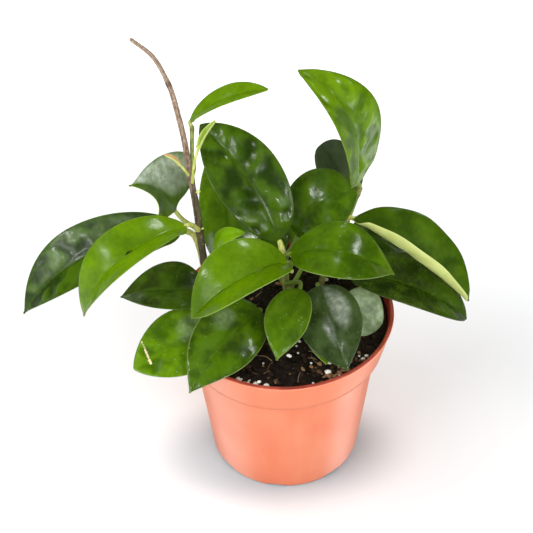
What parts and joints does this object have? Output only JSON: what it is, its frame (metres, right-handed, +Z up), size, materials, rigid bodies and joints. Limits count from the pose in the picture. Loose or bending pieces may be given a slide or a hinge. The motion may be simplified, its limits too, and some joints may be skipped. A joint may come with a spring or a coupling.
{
  "type": "hindu rope plant in a nursery pot, a flat-leaved wax plant (hoya)",
  "caption": "Trailing wax plant with thick glossy pointed leaves on slender stems, rooted in soil in a tapered pot with a collar.",
  "frame": {"origin": "centre of the pot's flat underside", "axes": "+Z up through the pot, the picture's front faces -Y, +X to the picture's right"},
  "size_m": [0.2414, 0.1335, 0.2447],
  "materials": {
    "pot": "smooth satin terracotta-coloured plastic",
    "soil": "dark moist potting mix with white perlite and bark chips",
    "bark": "thin grey-brown bark",
    "green_stem": "smooth green shoot",
    "leaf_dark": "waxy dark green leaf",
    "leaf_mid": "waxy green leaf",
    "leaf_bright": "waxy bright green leaf",
    "leaf_pale": "pale young leaf",
    "leaf_silver": "grey-green leaf with a silvery sheen",
    "sprout": "young sprout with a pinkish base"
  },
  "bodies": {
    "root": {"pot": "pot", "soil": "soil", "stem_vine": "bark", "stem_middle": "green_stem", "stem_right": "green_stem", "stem_front_left": "green_stem", "stem_front_right": "green_stem", "stem_side_shoot": "green_stem", "leaf_left_outer": "leaf_dark", "leaf_left_inner": "leaf_mid", "leaf_left_upper": "leaf_mid", "leaf_young_top": "leaf_bright", "leaf_young_rolled": "leaf_pale", "leaf_young_sprout": "sprout", "leaf_centre_tall": "leaf_dark", "leaf_centre_back": "leaf_mid", "leaf_centre_small": "leaf_pale", "leaf_front_bright": "leaf_bright", "leaf_front_pointed": "leaf_bright", "leaf_right_glossy": "leaf_mid", "leaf_right_round": "leaf_mid", "leaf_right_tall": "leaf_dark", "leaf_right_shaded": "leaf_silver", "leaf_right_raised": "leaf_dark", "leaf_right_outer": "leaf_dark", "leaf_right_tucked": "leaf_dark", "leaf_front_silver": "leaf_silver", "leaf_front_low": "leaf_mid", "leaf_right_rim": "leaf_silver", "leaf_front_scarred": "leaf_mid", "leaf_front_over_rim": "leaf_mid", "leaf_left_low": "leaf_dark", "leaf_back_right": "leaf_mid", "leaf_back_left": "leaf_dark", "leaf_back_side": "leaf_dark"}
  },
  "joints": []
}
